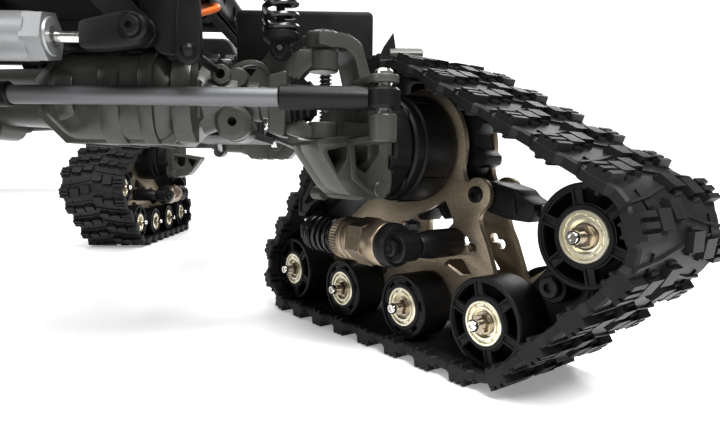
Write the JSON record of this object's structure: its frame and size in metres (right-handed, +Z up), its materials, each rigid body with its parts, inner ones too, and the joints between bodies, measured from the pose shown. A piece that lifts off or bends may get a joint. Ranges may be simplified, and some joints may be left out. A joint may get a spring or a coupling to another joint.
{
  "type": "tracked crawler chassis",
  "caption": "Crawler vehicle chassis: ladder frame on portal axles, with steered front and fixed rear triangular track units that rock on spring dampers.",
  "frame": {"origin": "on the ground, under the middle of the whole assembly", "axes": "+Z up, -Y the way the vehicle drives forward, +X its left side"},
  "size_m": [0.3995, 0.599, 0.184],
  "materials": {
    "rubber": "matt moulded rubber with raised tread",
    "black_plastic": "satin moulded nylon",
    "bronze_plate": "bead-blasted, bronze anodised sheet",
    "grey_plastic": "grey glass-filled nylon, lightly grained",
    "bronze_damper": "turned, bronze anodised",
    "satin_aluminium": "satin, brushed along its length"
  },
  "bodies": {
    "chassis": {"ladder_frame": "black_plastic", "gearbox": "black_plastic", "left_shock_body": "satin_aluminium", "right_shock_body": "satin_aluminium"},
    "front_axle": {"front_axle_housing": "grey_plastic", "front_diff_cover": "grey_plastic"},
    "rear_axle": {"rear_axle_housing": "grey_plastic"},
    "left_knuckle": {"left_knuckle": "grey_plastic", "front_left_hub_mount": "black_plastic"},
    "right_knuckle": {"right_knuckle": "grey_plastic", "front_right_hub_mount": "black_plastic"},
    "tie_rod": {"tie_rod": "satin_aluminium"},
    "left_shock_rod": {"left_shock_rod": "black_plastic"},
    "right_shock_rod": {"right_shock_rod": "black_plastic"},
    "front_left_unit": {"front_left_belt": "rubber", "front_left_inner_plate": "bronze_plate", "front_left_outer_plate": "bronze_plate"},
    "front_left_sprocket": {"front_left_sprocket": "black_plastic"},
    "front_left_wheel_1": {"front_left_wheel_1": "black_plastic"},
    "front_left_wheel_2": {"front_left_wheel_2": "black_plastic"},
    "front_left_wheel_3": {"front_left_wheel_3": "black_plastic"},
    "front_left_wheel_4": {"front_left_wheel_4": "black_plastic"},
    "front_left_idler_arm": {"front_left_idler_arm": "black_plastic"},
    "front_left_idler": {"front_left_idler": "black_plastic"},
    "front_left_damper_body": {"front_left_damper_body": "bronze_damper"},
    "front_left_damper_rod": {"front_left_damper_rod": "black_plastic"},
    "front_right_unit": {"front_right_belt": "rubber", "front_right_inner_plate": "bronze_plate", "front_right_outer_plate": "bronze_plate"},
    "front_right_sprocket": {"front_right_sprocket": "black_plastic"},
    "front_right_wheel_1": {"front_right_wheel_1": "black_plastic"},
    "front_right_wheel_2": {"front_right_wheel_2": "black_plastic"},
    "front_right_wheel_3": {"front_right_wheel_3": "black_plastic"},
    "front_right_wheel_4": {"front_right_wheel_4": "black_plastic"},
    "front_right_idler_arm": {"front_right_idler_arm": "black_plastic"},
    "front_right_idler": {"front_right_idler": "black_plastic"},
    "front_right_damper_body": {"front_right_damper_body": "bronze_damper"},
    "front_right_damper_rod": {"front_right_damper_rod": "black_plastic"},
    "rear_left_unit": {"rear_left_belt": "rubber", "rear_left_side_frame": "bronze_plate"},
    "rear_left_sprocket": {"rear_left_sprocket": "black_plastic"},
    "rear_left_wheel_1": {"rear_left_wheel_1": "black_plastic"},
    "rear_left_wheel_2": {"rear_left_wheel_2": "black_plastic"},
    "rear_left_wheel_3": {"rear_left_wheel_3": "black_plastic"},
    "rear_left_wheel_4": {"rear_left_wheel_4": "black_plastic"},
    "rear_left_idler_arm": {"rear_left_idler_arm": "black_plastic"},
    "rear_left_idler": {"rear_left_idler": "black_plastic"},
    "rear_left_damper_body": {"rear_left_damper_body": "bronze_damper"},
    "rear_left_damper_rod": {"rear_left_damper_rod": "black_plastic"},
    "rear_right_unit": {"rear_right_belt": "rubber", "rear_right_side_frame": "bronze_plate"},
    "rear_right_sprocket": {"rear_right_sprocket": "black_plastic"},
    "rear_right_wheel_1": {"rear_right_wheel_1": "black_plastic"},
    "rear_right_wheel_2": {"rear_right_wheel_2": "black_plastic"},
    "rear_right_wheel_3": {"rear_right_wheel_3": "black_plastic"},
    "rear_right_wheel_4": {"rear_right_wheel_4": "black_plastic"},
    "rear_right_idler_arm": {"rear_right_idler_arm": "black_plastic"},
    "rear_right_idler": {"rear_right_idler": "black_plastic"},
    "rear_right_damper_body": {"rear_right_damper_body": "bronze_damper"},
    "rear_right_damper_rod": {"rear_right_damper_rod": "black_plastic"}
  },
  "joints": [
    {"name": "front_axle_roll", "type": "hinge", "parent": "chassis", "child": "front_axle", "pos_m": [0, -0.1665, 0.099], "axis": [0, 1, 0], "range_deg": [-6, 6], "stiffness_Nm_per_rad": 4},
    {"name": "rear_axle_roll", "type": "hinge", "parent": "chassis", "child": "rear_axle", "pos_m": [0, 0.1995, 0.099], "axis": [0, 1, 0], "range_deg": [-6, 6], "stiffness_Nm_per_rad": 4},
    {"name": "steer_left", "type": "hinge", "parent": "front_axle", "child": "left_knuckle", "pos_m": [0.075, -0.1665, 0.099], "axis": [0, 0, 1], "range_deg": [-72, 0]},
    {"name": "steer_right", "type": "hinge", "parent": "front_axle", "child": "right_knuckle", "pos_m": [-0.075, -0.1665, 0.099], "axis": [0, 0, 1], "range_deg": [-72, 0]},
    {"name": "tie_rod_left_ball", "type": "hinge", "parent": "left_knuckle", "child": "tie_rod", "pos_m": [0.09557, -0.19482, 0.097], "axis": [0, 0, 1], "range_deg": [0, 72]},
    {"name": "left_shock_eye", "type": "hinge", "parent": "front_axle", "child": "left_shock_rod", "pos_m": [0.062, -0.1745, 0.116], "axis": [0, 1, 0], "range_deg": [-6.1, 6.1]},
    {"name": "right_shock_eye", "type": "hinge", "parent": "front_axle", "child": "right_shock_rod", "pos_m": [-0.062, -0.1745, 0.116], "axis": [0, 1, 0], "range_deg": [-6.1, 6.1]},
    {"name": "front_left_rock", "type": "hinge", "parent": "left_knuckle", "child": "front_left_unit", "pos_m": [0.10736, -0.14299, 0.083], "axis": [-0.809, -0.5878, 0], "range_deg": [-12, 12], "stiffness_Nm_per_rad": 1.2},
    {"name": "front_left_sprocket_spin", "type": "hinge", "parent": "front_left_unit", "child": "front_left_sprocket", "pos_m": [0.11545, -0.13711, 0.083], "axis": [-0.809, -0.5878, 0], "continuous": true},
    {"name": "front_left_wheel_1_spin", "type": "hinge", "parent": "front_left_unit", "child": "front_left_wheel_1", "pos_m": [0.0696, -0.07401, 0.022], "axis": [-0.809, -0.5878, 0], "continuous": true},
    {"name": "front_left_wheel_2_spin", "type": "hinge", "parent": "front_left_unit", "child": "front_left_wheel_2", "pos_m": [0.09517, -0.1092, 0.0192], "axis": [-0.809, -0.5878, 0], "continuous": true},
    {"name": "front_left_wheel_3_spin", "type": "hinge", "parent": "front_left_unit", "child": "front_left_wheel_3", "pos_m": [0.11986, -0.14318, 0.0192], "axis": [-0.809, -0.5878, 0], "continuous": true},
    {"name": "front_left_wheel_4_spin", "type": "hinge", "parent": "front_left_unit", "child": "front_left_wheel_4", "pos_m": [0.14455, -0.17716, 0.022], "axis": [-0.809, -0.5878, 0], "continuous": true},
    {"name": "front_left_idler_tension", "type": "hinge", "parent": "front_left_unit", "child": "front_left_idler_arm", "pos_m": [0.15718, -0.19455, 0.0375], "axis": [-0.809, -0.5878, 0], "range_deg": [0, 4]},
    {"name": "front_left_idler_spin", "type": "hinge", "parent": "front_left_idler_arm", "child": "front_left_idler", "pos_m": [0.16576, -0.20636, 0.0558], "axis": [-0.809, -0.5878, 0], "continuous": true},
    {"name": "front_left_damper_eye", "type": "hinge", "parent": "front_left_unit", "child": "front_left_damper_body", "pos_m": [0.10514, -0.17056, 0.046], "axis": [-0.809, -0.5878, 0], "range_deg": [-8.5, 8.5]},
    {"name": "front_left_damper_stroke", "type": "slide", "parent": "front_left_damper_body", "child": "front_left_damper_rod", "axis": [-0.5878, 0.809, 0], "range_m": [-0.0085, 0.0085]},
    {"name": "front_right_rock", "type": "hinge", "parent": "right_knuckle", "child": "front_right_unit", "pos_m": [-0.10736, -0.19001, 0.083], "axis": [-0.809, -0.5878, 0], "range_deg": [-12, 12], "stiffness_Nm_per_rad": 1.2},
    {"name": "front_right_sprocket_spin", "type": "hinge", "parent": "front_right_unit", "child": "front_right_sprocket", "pos_m": [-0.11545, -0.19589, 0.083], "axis": [-0.809, -0.5878, 0], "continuous": true},
    {"name": "front_right_wheel_1_spin", "type": "hinge", "parent": "front_right_unit", "child": "front_right_wheel_1", "pos_m": [-0.1613, -0.13279, 0.022], "axis": [-0.809, -0.5878, 0], "continuous": true},
    {"name": "front_right_wheel_2_spin", "type": "hinge", "parent": "front_right_unit", "child": "front_right_wheel_2", "pos_m": [-0.13573, -0.16798, 0.0192], "axis": [-0.809, -0.5878, 0], "continuous": true},
    {"name": "front_right_wheel_3_spin", "type": "hinge", "parent": "front_right_unit", "child": "front_right_wheel_3", "pos_m": [-0.11104, -0.20196, 0.0192], "axis": [-0.809, -0.5878, 0], "continuous": true},
    {"name": "front_right_wheel_4_spin", "type": "hinge", "parent": "front_right_unit", "child": "front_right_wheel_4", "pos_m": [-0.08636, -0.23594, 0.022], "axis": [-0.809, -0.5878, 0], "continuous": true},
    {"name": "front_right_idler_tension", "type": "hinge", "parent": "front_right_unit", "child": "front_right_idler_arm", "pos_m": [-0.07372, -0.25333, 0.0375], "axis": [-0.809, -0.5878, 0], "range_deg": [0, 4]},
    {"name": "front_right_idler_spin", "type": "hinge", "parent": "front_right_idler_arm", "child": "front_right_idler", "pos_m": [-0.06514, -0.26514, 0.0558], "axis": [-0.809, -0.5878, 0], "continuous": true},
    {"name": "front_right_damper_eye", "type": "hinge", "parent": "front_right_unit", "child": "front_right_damper_body", "pos_m": [-0.08045, -0.19642, 0.046], "axis": [-0.809, -0.5878, 0], "range_deg": [-8.5, 8.5]},
    {"name": "front_right_damper_stroke", "type": "slide", "parent": "front_right_damper_body", "child": "front_right_damper_rod", "axis": [-0.5878, 0.809, 0], "range_m": [-0.0085, 0.0085]},
    {"name": "rear_left_rock", "type": "hinge", "parent": "rear_axle", "child": "rear_left_unit", "pos_m": [0.115, 0.1995, 0.083], "axis": [-1, 0, 0], "range_deg": [-12, 12], "stiffness_Nm_per_rad": 1.2},
    {"name": "rear_left_sprocket_spin", "type": "hinge", "parent": "rear_left_unit", "child": "rear_left_sprocket", "pos_m": [0.125, 0.1995, 0.083], "axis": [-1, 0, 0], "continuous": true},
    {"name": "rear_left_wheel_1_spin", "type": "hinge", "parent": "rear_left_unit", "child": "rear_left_wheel_1", "pos_m": [0.125, 0.2775, 0.022], "axis": [-1, 0, 0], "continuous": true},
    {"name": "rear_left_wheel_2_spin", "type": "hinge", "parent": "rear_left_unit", "child": "rear_left_wheel_2", "pos_m": [0.125, 0.234, 0.0192], "axis": [-1, 0, 0], "continuous": true},
    {"name": "rear_left_wheel_3_spin", "type": "hinge", "parent": "rear_left_unit", "child": "rear_left_wheel_3", "pos_m": [0.125, 0.192, 0.0192], "axis": [-1, 0, 0], "continuous": true},
    {"name": "rear_left_wheel_4_spin", "type": "hinge", "parent": "rear_left_unit", "child": "rear_left_wheel_4", "pos_m": [0.125, 0.15, 0.022], "axis": [-1, 0, 0], "continuous": true},
    {"name": "rear_left_idler_tension", "type": "hinge", "parent": "rear_left_unit", "child": "rear_left_idler_arm", "pos_m": [0.125, 0.1285, 0.0375], "axis": [-1, 0, 0], "range_deg": [0, 4]},
    {"name": "rear_left_idler_spin", "type": "hinge", "parent": "rear_left_idler_arm", "child": "rear_left_idler", "pos_m": [0.125, 0.1139, 0.0558], "axis": [-1, 0, 0], "continuous": true},
    {"name": "rear_left_damper_eye", "type": "hinge", "parent": "rear_left_unit", "child": "rear_left_damper_body", "pos_m": [0.097, 0.1785, 0.046], "axis": [-1, 0, 0], "range_deg": [-8.5, 8.5]},
    {"name": "rear_left_damper_stroke", "type": "slide", "parent": "rear_left_damper_body", "child": "rear_left_damper_rod", "axis": [0, 1, 0], "range_m": [-0.0085, 0.0085]},
    {"name": "rear_right_rock", "type": "hinge", "parent": "rear_axle", "child": "rear_right_unit", "pos_m": [-0.115, 0.1995, 0.083], "axis": [-1, 0, 0], "range_deg": [-12, 12], "stiffness_Nm_per_rad": 1.2},
    {"name": "rear_right_sprocket_spin", "type": "hinge", "parent": "rear_right_unit", "child": "rear_right_sprocket", "pos_m": [-0.125, 0.1995, 0.083], "axis": [-1, 0, 0], "continuous": true},
    {"name": "rear_right_wheel_1_spin", "type": "hinge", "parent": "rear_right_unit", "child": "rear_right_wheel_1", "pos_m": [-0.125, 0.2775, 0.022], "axis": [-1, 0, 0], "continuous": true},
    {"name": "rear_right_wheel_2_spin", "type": "hinge", "parent": "rear_right_unit", "child": "rear_right_wheel_2", "pos_m": [-0.125, 0.234, 0.0192], "axis": [-1, 0, 0], "continuous": true},
    {"name": "rear_right_wheel_3_spin", "type": "hinge", "parent": "rear_right_unit", "child": "rear_right_wheel_3", "pos_m": [-0.125, 0.192, 0.0192], "axis": [-1, 0, 0], "continuous": true},
    {"name": "rear_right_wheel_4_spin", "type": "hinge", "parent": "rear_right_unit", "child": "rear_right_wheel_4", "pos_m": [-0.125, 0.15, 0.022], "axis": [-1, 0, 0], "continuous": true},
    {"name": "rear_right_idler_tension", "type": "hinge", "parent": "rear_right_unit", "child": "rear_right_idler_arm", "pos_m": [-0.125, 0.1285, 0.0375], "axis": [-1, 0, 0], "range_deg": [0, 4]},
    {"name": "rear_right_idler_spin", "type": "hinge", "parent": "rear_right_idler_arm", "child": "rear_right_idler", "pos_m": [-0.125, 0.1139, 0.0558], "axis": [-1, 0, 0], "continuous": true},
    {"name": "rear_right_damper_eye", "type": "hinge", "parent": "rear_right_unit", "child": "rear_right_damper_body", "pos_m": [-0.097, 0.1785, 0.046], "axis": [-1, 0, 0], "range_deg": [-8.5, 8.5]},
    {"name": "rear_right_damper_stroke", "type": "slide", "parent": "rear_right_damper_body", "child": "rear_right_damper_rod", "axis": [0, 1, 0], "range_m": [-0.0085, 0.0085]}
  ],
  "couplings": [
    {"joint": "steer_right", "follows": "steer_left", "ratio": 1},
    {"joint": "tie_rod_left_ball", "follows": "steer_left", "ratio": -1},
    {"joint": "left_shock_eye", "follows": "front_axle_roll", "ratio": -1},
    {"joint": "right_shock_eye", "follows": "front_axle_roll", "ratio": -1},
    {"joint": "front_left_wheel_1_spin", "follows": "front_left_sprocket_spin", "ratio": 1.9451},
    {"joint": "front_left_wheel_2_spin", "follows": "front_left_sprocket_spin", "ratio": 2.3456},
    {"joint": "front_left_wheel_3_spin", "follows": "front_left_sprocket_spin", "ratio": 2.3456},
    {"joint": "front_left_wheel_4_spin", "follows": "front_left_sprocket_spin", "ratio": 1.9451},
    {"joint": "front_left_idler_spin", "follows": "front_left_sprocket_spin", "ratio": 1.9451},
    {"joint": "front_left_damper_eye", "follows": "front_left_rock", "ratio": -0.674},
    {"joint": "front_left_damper_stroke", "follows": "front_left_rock", "m_per_rad": 0.037},
    {"joint": "front_right_wheel_1_spin", "follows": "front_right_sprocket_spin", "ratio": 1.9451},
    {"joint": "front_right_wheel_2_spin", "follows": "front_right_sprocket_spin", "ratio": 2.3456},
    {"joint": "front_right_wheel_3_spin", "follows": "front_right_sprocket_spin", "ratio": 2.3456},
    {"joint": "front_right_wheel_4_spin", "follows": "front_right_sprocket_spin", "ratio": 1.9451},
    {"joint": "front_right_idler_spin", "follows": "front_right_sprocket_spin", "ratio": 1.9451},
    {"joint": "front_right_damper_eye", "follows": "front_right_rock", "ratio": -0.674},
    {"joint": "front_right_damper_stroke", "follows": "front_right_rock", "m_per_rad": 0.037},
    {"joint": "rear_left_wheel_1_spin", "follows": "rear_left_sprocket_spin", "ratio": 1.9451},
    {"joint": "rear_left_wheel_2_spin", "follows": "rear_left_sprocket_spin", "ratio": 2.3456},
    {"joint": "rear_left_wheel_3_spin", "follows": "rear_left_sprocket_spin", "ratio": 2.3456},
    {"joint": "rear_left_wheel_4_spin", "follows": "rear_left_sprocket_spin", "ratio": 1.9451},
    {"joint": "rear_left_idler_spin", "follows": "rear_left_sprocket_spin", "ratio": 1.9451},
    {"joint": "rear_left_damper_eye", "follows": "rear_left_rock", "ratio": -0.674},
    {"joint": "rear_left_damper_stroke", "follows": "rear_left_rock", "m_per_rad": 0.037},
    {"joint": "rear_right_wheel_1_spin", "follows": "rear_right_sprocket_spin", "ratio": 1.9451},
    {"joint": "rear_right_wheel_2_spin", "follows": "rear_right_sprocket_spin", "ratio": 2.3456},
    {"joint": "rear_right_wheel_3_spin", "follows": "rear_right_sprocket_spin", "ratio": 2.3456},
    {"joint": "rear_right_wheel_4_spin", "follows": "rear_right_sprocket_spin", "ratio": 1.9451},
    {"joint": "rear_right_idler_spin", "follows": "rear_right_sprocket_spin", "ratio": 1.9451},
    {"joint": "rear_right_damper_eye", "follows": "rear_right_rock", "ratio": -0.674},
    {"joint": "rear_right_damper_stroke", "follows": "rear_right_rock", "m_per_rad": 0.037}
  ]
}
